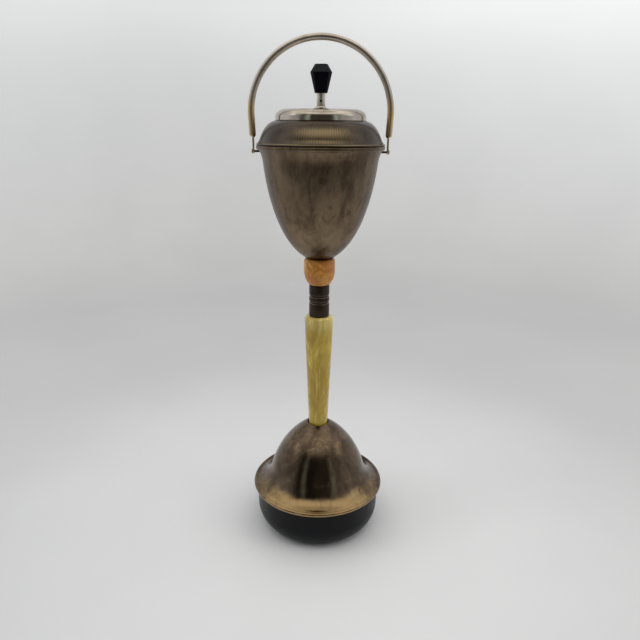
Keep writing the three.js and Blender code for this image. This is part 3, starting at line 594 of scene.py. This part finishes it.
def build_stem():
    bottom_r, shoulder = 11.9, 3.4
    length = stem.h
    wall = bezier((bottom_r, stem.z0 + 1.6), (bottom_r + 2.1, stem.z0 + length * 0.34),
                  (stem.r - 1.6, stem.z0 + length * 0.68), (stem.r, stem.z1 - shoulder), 60)
    outline = [
        (BORE_R, stem.z0), *arc((bottom_r - 1.6, stem.z0 + 1.6), (1.6, 1.6), -90, -8, 6), *wall,
        *arc((stem.r - shoulder, stem.z1 - shoulder), (shoulder, shoulder), 6, 90, 10), (BORE_R, stem.z1),
    ]
    piece = turned("onyx_stem_fine", outline, 128)
    for vertex in piece.data.vertices:
        # Hand-polished stone: the wall is not quite true.
        flat = Vector((vertex.co.x, vertex.co.y, 0))
        if flat.length > 0.008:
            wave = noise.noise(vertex.co * 38) * 0.00016
            vertex.co += flat.normalized() * wave
    place(piece, "stand", "onyx", paint["onyx"], "onyx_stem")


def build_collar():
    collar = Size("ribbed_collar")
    depth = 1.0
    corners = [(BORE_R, collar.z0), (collar.r - 0.2, collar.z0, 0.7), (collar.r, collar.z0 + 1.6)]
    for z in GROOVES:
        low, high = z - GROOVE_H / 2, z + GROOVE_H / 2
        corners += [
            (collar.r, low - 0.4, 0.3), (collar.r - depth, low, 0.4),
            (collar.r - depth, high, 0.4), (collar.r, high + 0.4, 0.3),
        ]
    corners += [(collar.r, collar.z1 - 1.2), (collar.r - 0.2, collar.z1, 0.7), (BORE_R, collar.z1)]
    piece = turned("ribbed_collar_fine", rounded(corners, 5), 96)
    place(piece, "stand", "dark_bronze", paint["bronze"], "ribbed_collar")


def build_bead():
    bead = Size("stone_bead")
    low_r, top_r = 13.0, 16
    widest = (bead.r, bead.z0 + 18.2)
    wall = bezier((low_r, bead.z0 + 0.6), (15.9, bead.z0 + 3.2), (bead.r, bead.z0 + 9.2), widest, 24)
    shoulder = bezier((bead.r, bead.z1 - 5.4), (bead.r, bead.z1 - 1.8), (17.9, bead.z1), (top_r, bead.z1), 14)
    outline = [
        (BORE_R, bead.z0), (low_r - 0.6, bead.z0), (low_r - 0.1, bead.z0 + 0.3),
        *wall, *shoulder, (BORE_R, bead.z1),
    ]
    piece = turned("stone_bead_fine", outline, 128)
    for vertex in piece.data.vertices:
        flat = Vector((vertex.co.x, vertex.co.y, 0))
        if flat.length > 0.011:
            chip = noise.noise(vertex.co * 120) * 0.00022 + noise.noise(vertex.co * 420) * 0.00006
            vertex.co += flat.normalized() * (chip - 0.0001)
    place(piece, "stand", "amber_stone", paint["stone"], "stone_bead")

    seat = Size("bowl_seat")
    disc = rounded([(BORE_R, seat.z0), (seat.r, seat.z0, 0.5), (seat.r, seat.z1, 0.5), (BORE_R, seat.z1)])
    place(turned("bowl_seat_fine", disc, 96), "stand", "dark_bronze", paint["bronze"], "bowl_seat")


# ---- Bowl --------------------------------------------------------------------------------------------

def build_bowl():
    bowl = Size("bowl")
    seat_r, side_r = 17, bowl.r - 7.6
    side_z, rim_z = bowl.z0 + 106.1, bowl.z1 - 5.2
    side = bezier((seat_r, bowl.z0), (51, bowl.z0 + 20.6), (61.9, bowl.z0 + 81.3), (side_r, side_z), 56)
    mouth = bezier((side_r, side_z), (side_r + 0.7, side_z + 6.1), (side_r + 2.0, side_z + 12.3),
                   (bowl.r - 2.4, rim_z), 16)
    outer = [*side, *mouth[1:]]
    roll = arc((bowl.r - 2.2, bowl.z1 - 2.6), (2.2, 2.6), -84, 86, 18)
    inner = offset(outer, SHEET)
    inner.reverse()
    mouth_r = bowl.r - 3.6
    outline = [
        (BORE_R, bowl.z0), *outer, *roll, (mouth_r, bowl.z1), (mouth_r, rim_z + 1.2),
        *inner[1:-1], (seat_r, bowl.z0 + SHEET), (BORE_R, bowl.z0 + SHEET),
    ]
    piece = turned("bowl_fine", outline, 192)
    for vertex in piece.data.vertices:
        # Shallow dents and the slight unevenness of an old spun shell.
        flat = Vector((vertex.co.x, vertex.co.y, 0))
        if flat.length > 0.02 and vertex.co.z < (rim_z - 4) * MM:
            vertex.co += flat.normalized() * noise.noise(vertex.co * 24) * 0.00022
    place(piece, "stand", "aged_brass", paint["bowl"], "bowl")


def build_cover():
    cover = Size("cover")
    ring = Size("ash_ring")
    edge_r, neck = cover.r, (cover.r - 4.3, cover.z0 + 6.6)
    edge = (edge_r, cover.z0 + 1)
    flare = bezier(edge, (edge_r - 1.4, cover.z0 + 1.6), (edge_r - 2.6, cover.z0 + 2.8), neck, 18)
    shoulder = bezier(neck, (65.2, cover.z0 + 14.2), (60.5, cover.z0 + 23.2), (ring.r + 0.4, cover.z1), 26)
    outer = [*flare, *shoulder[1:]]
    inner = offset(outer, SHEET)
    inner.reverse()
    hole_r = 44.6
    outline = [
        (edge_r - 2.4, cover.z0), (edge_r - 0.4, cover.z0), (edge_r, cover.z0 + 0.4),
        *outer, (hole_r, cover.z1), (hole_r, cover.z1 - SHEET), *inner[:-1],
    ]
    place(turned("cover_fine", outline, 192), "lid", "aged_brass", paint["cover"], "cover")

    band = Size("locating_band")
    inner_r = band.r - SHEET
    strip = [(inner_r, band.z0, 0.3), (band.r, band.z0, 0.4), (band.r, band.z1, 0.3), (inner_r, band.z1, 0.3)]
    piece = turned("locating_band_fine", rounded(strip))
    place(piece, "lid", "golden_brass", paint["gold"], "locating_band")


# ---- Ash ring, disc and knob -------------------------------------------------------------------------

REST_RADIUS = 4.6       # cigarette rests: round grooves along X, mm
REST_START = 39.0
REST_LIFT = 1.6         # the groove's axis above the ring's top, mm
REST_BLEND = 0.5        # softness of the groove's edge, mm


def pressed(x, y, z, top, extra):
    """The height of the ring's sheet after the rests are pressed in, in millimetres."""
    radius = REST_RADIUS + extra
    short = max(REST_START - abs(x), 0.0)
    room = radius * radius - y * y - short * short
    if room <= 0:
        return z
    groove = top + REST_LIFT - math.sqrt(room)
    gap = max(REST_BLEND - abs(z - groove), 0.0) / REST_BLEND
    return min(z, groove) - gap * gap * REST_BLEND / 4


def build_ring():
    ring = Size("ash_ring")
    top, bottom = ring.z1, ring.z0
    open_r, lip_z = 31, ring.z1 - 1.8
    round_r, round_h = 10.5, 8.4
    hole_r = 44.6
    crest = ring.r - round_r
    outline = [
        (ring.r, bottom + 0.5), (ring.r, bottom + 3),
        *arc((crest, top - round_h), (round_r, round_h), 0, 90, 30),
        *[(crest - (crest - open_r - 1.8) * k / 8, top) for k in range(1, 8)],
        *arc((open_r + 1.8, lip_z), (1.8, 1.8), 90, 180, 12),
        (open_r + 0.4, lip_z - 0.25), (open_r + SHEET, lip_z),
        *arc((open_r + 1.8, lip_z), (0.8, 0.8), 180, 90, 6),
        *[(open_r + 1.8 + (crest - open_r - 1.8) * k / 8, top - SHEET) for k in range(1, 8)],
        *arc((crest, top - round_h), (round_r - SHEET, round_h - SHEET), 90, 0, 24),
        (ring.r - SHEET, bottom + SHEET), (hole_r, bottom + SHEET), (hole_r, bottom), (ring.r - 0.5, bottom),
    ]
    piece = turned("ash_ring_fine", outline, 288)
    inner_top = top - SHEET + 0.01
    for vertex in piece.data.vertices:
        x, y, z = (c / MM for c in vertex.co)
        r = math.hypot(x, y)
        if z < bottom + 4 or r < open_r + 2:
            continue
        across = max(r - crest, 0) / (round_r - SHEET / 2)
        upward = max(z - (top - round_h), 0) / (round_h - SHEET / 2)
        inside = z < inner_top and math.hypot(across, upward) < 1
        vertex.co.z = pressed(x, y, z, top, SHEET if inside else 0.0) * MM
    piece.data.update()
    place(piece, "lid", "nickel", paint["nickel"], "ash_ring")


def build_disc():
    disc = Size("spin_disc")
    hub = Size("disc_hub")
    under = disc.z0 + 2.3
    valley = (22, under - 2.3)
    low = [
        (5.6, under + 3.1), *bezier((7.5, under + 2.5), (13, under - 0.4), (16, under - 2.3), valley, 24),
        *bezier(valley, (26.5, under - 2.3), (30, under - 1.0), (disc.r, under), 16)[1:],
    ]
    high = [(r, z + 0.9) for r, z in reversed(low)]
    high.insert(0, (disc.r + 0.12, under + 0.45))
    place(turned("spin_disc_fine", low + high, 160), "rotor", "nickel", paint["nickel"], "spin_disc")

    shape = [
        (3.0, hub.z0 + 1.5), (5.9, hub.z0 + 1.5), (9.1, hub.z0, 0.1), (9.3, hub.z0 + 0.35, 0.2),
        *bezier((8.6, hub.z0 + 0.9), (6.7, hub.z0 + 1.3), (5.7, hub.z0 + 1.7), (5.4, hub.z1 - 0.3), 14),
        (5.2, hub.z1), (3.0, hub.z1),
    ]
    place(turned("disc_hub_fine", rounded(shape), 96), "rotor", "nickel", paint["nickel"], "disc_hub")


def build_sleeve():
    sleeve = Size("push_sleeve")
    screw_z = (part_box("retaining_screw")[0].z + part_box("retaining_screw")[1].z) / 2 / MM
    knob = Size("knob")
    outline = [
        (3.1, sleeve.z0), (sleeve.r, sleeve.z0, 0.35), (sleeve.r, screw_z - 3), (sleeve.r, screw_z),
        (sleeve.r, screw_z + 3), (sleeve.r, knob.z0, 0.1), (3.0, knob.z0), (3.0, sleeve.z1, 0.4),
        (0, sleeve.z1), (0, sleeve.z1 - 16), (3.1, sleeve.z1 - 16),
    ]
    piece = turned("push_sleeve_fine", rounded(outline), SMALL_STEPS)
    turn = Matrix.Rotation(math.radians(90), 4, "X")
    middle = Matrix.Translation((0, -5 * MM, screw_z * MM))
    drill(piece, 1.3 * MM, 5 * MM, middle @ turn, 32)
    place(piece, "plunger", "nickel", paint["satin"], "push_sleeve")


def drill(piece, radius, depth, matrix, segments):
    """Cuts a round hole in the piece: a cylinder along Z, placed by the matrix."""
    hole = bpy.data.meshes.new("hole")
    bm = bmesh.new()
    bmesh.ops.create_cone(bm, cap_ends=True, segments=segments, radius1=radius, radius2=radius,
                          depth=depth, matrix=matrix)
    bm.to_mesh(hole)
    bm.free()
    cutter = bpy.data.objects.new("hole", hole)
    bpy.context.scene.collection.objects.link(cutter)
    modifier = piece.modifiers.new("cut", "BOOLEAN")
    modifier.object = cutter
    modifier.operation = "DIFFERENCE"
    modifier.solver = "EXACT"
    depsgraph = bpy.context.evaluated_depsgraph_get()
    mesh = bpy.data.meshes.new_from_object(piece.evaluated_get(depsgraph))
    piece.modifiers.clear()
    piece.data = mesh
    mesh.set_sharp_from_angle(angle=SHARP)
    bpy.data.objects.remove(cutter)


def build_knob():
    """Square with cut corners, tapering down to the rod and chamfered above."""
    knob = Size("knob")
    wide_z = knob.z0 + 20.8
    levels = [(6.7, knob.z0), (7.1, knob.z0 + 0.5), (knob.r, wide_z), (7.0, knob.z1 - 0.4), (6.4, knob.z1)]
    bm = bmesh.new()
    rings = []
    for half, z in levels:
        flat = half * 0.7
        quarter = [(half, -flat), (half, flat), (flat, half), (-flat, half)]
        corners = quarter + [(-x, -y) for x, y in quarter]
        rings.append([bm.verts.new((x * MM, y * MM, z * MM)) for x, y in corners])
    for lower, upper in zip(rings, rings[1:]):
        for k in range(8):
            n = (k + 1) % 8
            bm.faces.new((lower[k], lower[n], upper[n], upper[k]))
    bm.faces.new(rings[0])
    bm.faces.new(rings[-1])
    bmesh.ops.recalc_face_normals(bm, faces=bm.faces)
    bmesh.ops.bevel(bm, geom=list(bm.edges), offset=0.32 * MM, segments=3, profile=0.5, affect="EDGES",
                    clamp_overlap=True)
    piece = finish_mesh("knob_fine", bm, sharp=math.radians(60))
    depth = 17 * MM
    middle = Matrix.Translation((0, 0, knob.z0 * MM + depth / 2 - 1 * MM))
    drill(piece, 4.5 * MM, depth, middle, 48)
    place(piece, "plunger", "black_plastic", paint["plastic"], "knob")


# ---- Spring ------------------------------------------------------------------------------------------

def build_spring():
    spring = Size("return_spring")
    wire = 0.6
    coil_r = 7.4
    turns, steps = 7, 48
    low, high = spring.z0 + wire, spring.z1 - wire
    points = []
    for i in range(turns * steps + 1):
        t = i / (turns * steps)
        a = t * turns * 2 * math.pi
        points.append(Vector((coil_r * math.cos(a), coil_r * math.sin(a), low + (high - low) * t)) * MM)
    angles = [2 * math.pi * k / 12 for k in range(12)]
    section = [(wire * MM * math.cos(a), wire * MM * math.sin(a)) for a in angles]
    piece = swept("return_spring_fine", points, lambda i: section)
    place(piece, "lid", "steel", paint["steel"], "return_spring")
    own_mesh(piece)


# ---- Handle ------------------------------------------------------------------------------------------

def bail_path(bend_r, bend_z, end_z, lean, steps):
    """Points and section frames from the lower end of the left leg over the bow to the right one."""
    leg = bend_z - end_z
    half = math.pi * bend_r
    total = half + 2 * leg
    points = []
    for i in range(steps + 1):
        s = total * i / steps
        if s < leg:
            points.append(Vector((-bend_r + lean * (1 - s / leg), 0, end_z + s)) * MM)
        elif s > leg + half:
            left = total - s
            points.append(Vector((bend_r - lean * (1 - left / leg), 0, end_z + left)) * MM)
        else:
            a = math.pi - (s - leg) / bend_r
            points.append(Vector((bend_r * math.cos(a), 0, bend_z + bend_r * math.sin(a))) * MM)
    return points, total


def build_handle():
    """A round tube whose ends are closed round the flat lugs."""
    tube = Size("handle_tube")
    r = 3.75
    bend_r = tube.r - r
    bend_z = tube.z1 - tube.r
    steps = 240
    points, total = bail_path(bend_r, bend_z, tube.z0 - 1.4, 1.0, steps)
    sides = 32
    pinch = 3.4
    frames = []
    for i in range(steps + 1):
        along = (points[min(i + 1, steps)] - points[max(i - 1, 0)]).normalized()
        out = Vector((0, 1, 0)).cross(along)
        frames.append((out, Vector((0, 1, 0))))

    def section(i):
        from_end = min(i, steps - i) * total / steps
        t = min(from_end / pinch, 1.0)
        ease = math.sqrt(max(1 - (1 - t) ** 2, 0.0))
        thick = 1.35 + (r - 1.35) * ease
        wide = 3.3 + (r - 3.3) * ease
        # The pinched end lies on the inner side of the leg, against the lug.
        side = 1 if frames[i][0].x * points[i].x > 0 else -1
        shift = -side * (1 - ease) * 0.9
        ring = [2 * math.pi * k / sides for k in range(sides)]
        return [((thick * math.cos(a) + shift) * MM, wide * math.sin(a) * MM) for a in ring]

    piece = swept("handle_tube_fine", points, section, frames=frames)
    place(piece, "handle", "golden_brass", paint["handle"], "handle_tube")


def build_lug(label):
    """A flat strip from the tube's end down to a round eye on the pivot stud."""
    node = f"handle_lug_{label}"
    low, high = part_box(node)
    low, high = low / MM, high / MM
    half = (high.y - low.y) / 2
    pivot_z = low.z + half
    eye_r = 1.55
    neck = high.z - 9.4
    tongue = 2.0
    edge = [(half, neck - 3), (half, neck - 0.6), (half - 0.6, neck), (tongue, neck), (tongue, high.z)]
    outline = arc((0, pivot_z), (half, half), -180, 0, 32) + edge
    outline += [(-y, z) for y, z in reversed(edge)]
    ease = 0.3
    bm = bmesh.new()
    loops = []
    for x, inset in ((low.x, ease), (low.x + ease, 0), (high.x - ease, 0), (high.x, ease)):
        outer, inner = [], []
        for y, z in outline:
            away = Vector((y, z - pivot_z))
            edge = away * (1 - inset / away.length)
            outer.append(bm.verts.new((x * MM, edge.x * MM, (edge.y + pivot_z) * MM)))
            eye = away.normalized() * (eye_r + inset * 0.5)
            inner.append(bm.verts.new((x * MM, eye.x * MM, (eye.y + pivot_z) * MM)))
        loops.append((outer, inner))
    count = len(outline)
    for (outer_a, inner_a), (outer_b, inner_b) in zip(loops, loops[1:]):
        for k in range(count):
            n = (k + 1) % count
            bm.faces.new((outer_a[k], outer_a[n], outer_b[n], outer_b[k]))
            bm.faces.new((inner_a[n], inner_a[k], inner_b[k], inner_b[n]))
    for outer, inner in (loops[0], loops[-1]):
        for k in range(count):
            n = (k + 1) % count
            bm.faces.new((outer[k], outer[n], inner[n], inner[k]))
    piece = finish_mesh(f"{node}_fine", bm, sharp=math.radians(30))
    place(piece, "handle", "golden_brass", paint["handle"], node)


def build_stud(label):
    """The riveted stud that a lug turns on, with a domed head."""
    node = f"pivot_stud_{label}"
    low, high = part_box(node)
    low, high = low / MM, high / MM
    z = (low.z + high.z) / 2
    side = 1 if high.x > 0 else -1
    inner_x, outer_x = (low.x, high.x) if side > 0 else (high.x, low.x)
    length = abs(outer_x - inner_x)
    shank = 1.25
    head = (high.z - low.z) / 2
    head_t = 1.0
    outline = [
        (0, 0), (shank, 0, 0.2), (shank, length - head_t), (head, length - head_t, 0.2),
        *arc((0, length - head_t + 0.35), (head, head_t - 0.35), 0, 90, 12)[:-1], (0, length),
    ]
    piece = turned(f"{node}_fine", rounded(outline), SMALL_STEPS)
    lay = Matrix.Translation((inner_x * MM, 0, z * MM)) @ Matrix.Rotation(math.radians(90 * side), 4, "Y")
    piece.data.transform(lay)
    place(piece, "stand", "dark_bronze", paint["bronze"], node)


# ---- CAD nodes that keep their shape -----------------------------------------------------------------

KEPT = {
    "iron": ["ballast_disc"],
    "steel": [
        "ballast_washer", "ballast_nut", "foot_washer", "foot_nut", "tie_rod", "bowl_washer", "bowl_nut",
        "bridge", "bridge_rivet_front", "bridge_rivet_back", "rotor_shaft", "twisted_spindle",
    ],
    "felt": ["column_washer", "stem_top_washer"],
    "gold": ["helix_guide", "disc_boss", "spindle_stop", "knob_insert"],
    "bronze": ["retaining_screw"],
}


def dress_kept_nodes():
    """Gives the inner CAD parts their finish."""
    for finish, names in KEPT.items():
        for name in names:
            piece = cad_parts[name]
            piece.data.materials.clear()
            piece.data.materials.append(paint[finish])


# ---- Stage, light and camera -------------------------------------------------------------------------

FLOOR_R = 0.95          # floor that the metal can reflect, m
COVE_START_R = 1.25     # where the sweep starts to curve up, m
COVE_R = 0.75           # radius of the curve, m
WALL_TOP = 3.4          # height of the sweep, m


def stage_material():
    """Pale paper with painted shade some way behind the object and a painted glow towards the top of the
    sweep, stronger on the right.
    """
    s = Shader("pale_paper")
    mottle = s.noise(3.0, 3, 0.5)
    tone = s.mix(s.span(mottle, 0.35, 0.65), (0.712, 0.725, 0.752), (0.742, 0.755, 0.782))
    radius = s.radius()
    # Painted shade: the paper is darker some way out from the object, on the floor and the sweep.
    painted_shade = s.math("MULTIPLY", s.span(radius, 0.16, 0.62), s.span(radius, 1.9, 1.05))
    tone = s.mix(s.math("MULTIPLY", painted_shade, 0.45), tone, (0.40, 0.405, 0.42))
    # Painted glow: the sweep gives off light, more towards its top and on the right.
    glow = s.math("ADD", s.span(s.z, 0.0, 0.95, 0.0, 0.54, False), s.span(s.z, 0.9, 2.2, 0.0, 0.12))
    sideways = s.span(s.x, -0.9, 0.9, 0.86, 1.14)
    return s.set(base_color=tone, roughness=0.7, emission_color=(0.97, 0.98, 0.975),
                 emission_strength=s.math("MULTIPLY", glow, sideways))


def build_stage():
    paper = stage_material()
    metre = 1 / MM
    floor_r, cove_start, cove_r = FLOOR_R * metre, COVE_START_R * metre, COVE_R * metre
    floor = turned("floor", [(0, 0), (floor_r, 0)], 128, closed=False)
    profile = [(floor_r, 0), *arc((cove_start, cove_r), (cove_r, cove_r), -90, 0, 24)]
    profile += [(cove_start + cove_r, WALL_TOP * metre)]
    sweep = turned("backdrop", profile, 128, closed=False)
    for piece in (floor, sweep):
        piece.data.materials.append(paper)
    sweep.visible_glossy = False
    sweep.visible_diffuse = False
    sweep.visible_shadow = False


class WorldShader(Shader):
    """The same short node calls, for the world's background."""

    def __init__(self, world):
        world.use_nodes = True
        self.tree = world.node_tree
        self.surface = self.tree.nodes["Background"]
        node = self.tree.nodes.new("ShaderNodeTexCoord")
        self.object_space = node.outputs["Generated"]
        split = self.tree.nodes.new("ShaderNodeSeparateXYZ")
        self.tree.links.new(self.object_space, split.inputs[0])
        self.x, self.y, self.z = split.outputs


def build_world():
    """A pale studio: bright behind, at the sides and above, and dim behind the camera."""
    world = bpy.data.worlds.new("studio")
    bpy.context.scene.world = world
    s = WorldShader(world)
    azimuth = s.azimuth()
    away = s.math("ABSOLUTE", azimuth)
    walls = s.mix(s.span(away, 0.55, 1.75), (0.060, 0.055, 0.050), (0.62, 0.63, 0.65))
    right = s.math("MULTIPLY", s.bell(azimuth, 1.0, 0.5), s.span(s.z, -0.5, 0.0))
    walls = s.mix(s.math("MULTIPLY", right, 0.4), walls, (0.60, 0.58, 0.55))
    for centre, width, share in ((-0.58, 0.16, 0.95), (0.66, 0.17, 0.85), (-1.05, 0.16, 0.4)):
        panel = s.math("MULTIPLY", s.bell(azimuth, centre, width), s.bell(s.z, 0.15, 0.85))
        walls = s.mix(s.math("MULTIPLY", panel, share), walls, (0.56, 0.66, 0.62))
    for centre, width in ((0.44, 0.035), (-0.38, 0.03), (-0.80, 0.04)):
        edge = s.math("MULTIPLY", s.bell(azimuth, centre, width), s.bell(s.z, 0.15, 0.9))
        walls = s.mix(edge, walls, (0.01, 0.01, 0.01))
    for centre in (-1.4, 1.45):
        glow = s.math("MULTIPLY", s.bell(azimuth, centre, 0.4), s.bell(s.z, 0.55, 0.38))
        walls = s.mix(s.math("MULTIPLY", glow, 0.85), walls, (1.25, 1.22, 1.18))
    ceiling = s.mix(s.span(s.z, 0.90, 0.97), (1.02, 0.99, 0.93), (0.66, 0.63, 0.58))
    colour = s.mix(s.span(s.z, 0.60, 0.82), walls, ceiling)
    s.put(colour, s.surface.inputs["Color"])
    s.surface.inputs["Strength"].default_value = 1.0


def area_light(name, place_at, aim, size, power, colour):
    """A rectangular lamp. Shiny pieces don't mirror it: the world's panels stand for it there."""
    light = bpy.data.lights.new(name, "AREA")
    light.shape = "RECTANGLE"
    light.size, light.size_y = size
    light.energy = power
    light.color = colour
    lamp = bpy.data.objects.new(name, light)
    lamp.location = place_at
    lamp.visible_glossy = False
    lamp.rotation_euler = (Vector(aim) - Vector(place_at)).to_track_quat("-Z", "Y").to_euler()
    bpy.context.scene.collection.objects.link(lamp)


def build_lights():
    area_light("softbox_above", (0.1, -0.2, 1.75), (0, 0, 0.1), (1.5, 1.3), 7.0, (1.0, 0.985, 0.95))
    area_light("softbox_right", (1.2, -0.55, 0.9), (0, 0, 0.35), (0.5, 1.0), 2.6, (1.0, 0.98, 0.95))
    area_light("softbox_left", (-1.25, -0.3, 0.8), (0, 0, 0.3), (0.5, 1.1), 2.0, (0.97, 0.99, 1.0))


CAMERA_DISTANCE = 0.693     # from the column's axis, m
CAMERA_ABOVE_BOWL = 0.0209  # above the bowl's rim, m
CAMERA_SIDE = 0.0012        # to the right of the axis, m
CAMERA_PITCH = 18.21        # degrees below the horizon
CAMERA_ROLL = 0.55          # degrees
CAMERA_LENS = 33.27         # mm on a 36 mm sensor


def build_camera():
    camera = bpy.data.cameras.new("camera")
    camera.lens = CAMERA_LENS
    camera.sensor_width = 36
    camera.clip_start = 0.01
    eye = bpy.data.objects.new("camera", camera)
    eye.location = (CAMERA_SIDE, -CAMERA_DISTANCE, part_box("bowl")[1].z + CAMERA_ABOVE_BOWL)
    look = Matrix.Rotation(math.radians(90 - CAMERA_PITCH), 4, "X")
    roll = Matrix.Rotation(math.radians(CAMERA_ROLL), 4, "Z")
    eye.rotation_euler = (look @ roll).to_euler()
    bpy.context.scene.collection.objects.link(eye)
    bpy.context.scene.camera = eye


def build_stand():
    build_foot()
    build_dome()
    build_stem()
    build_collar()
    build_bead()
    build_bowl()


def build_top():
    build_cover()
    build_ring()
    build_disc()
    build_sleeve()
    build_knob()
    build_spring()


build_stand()
build_top()
build_handle()
for side_name in ("left", "right"):
    build_lug(side_name)
    build_stud(side_name)
dress_kept_nodes()
build_stage()
build_world()
build_lights()
build_camera()
bpy.context.scene.view_settings.view_transform = "Standard"
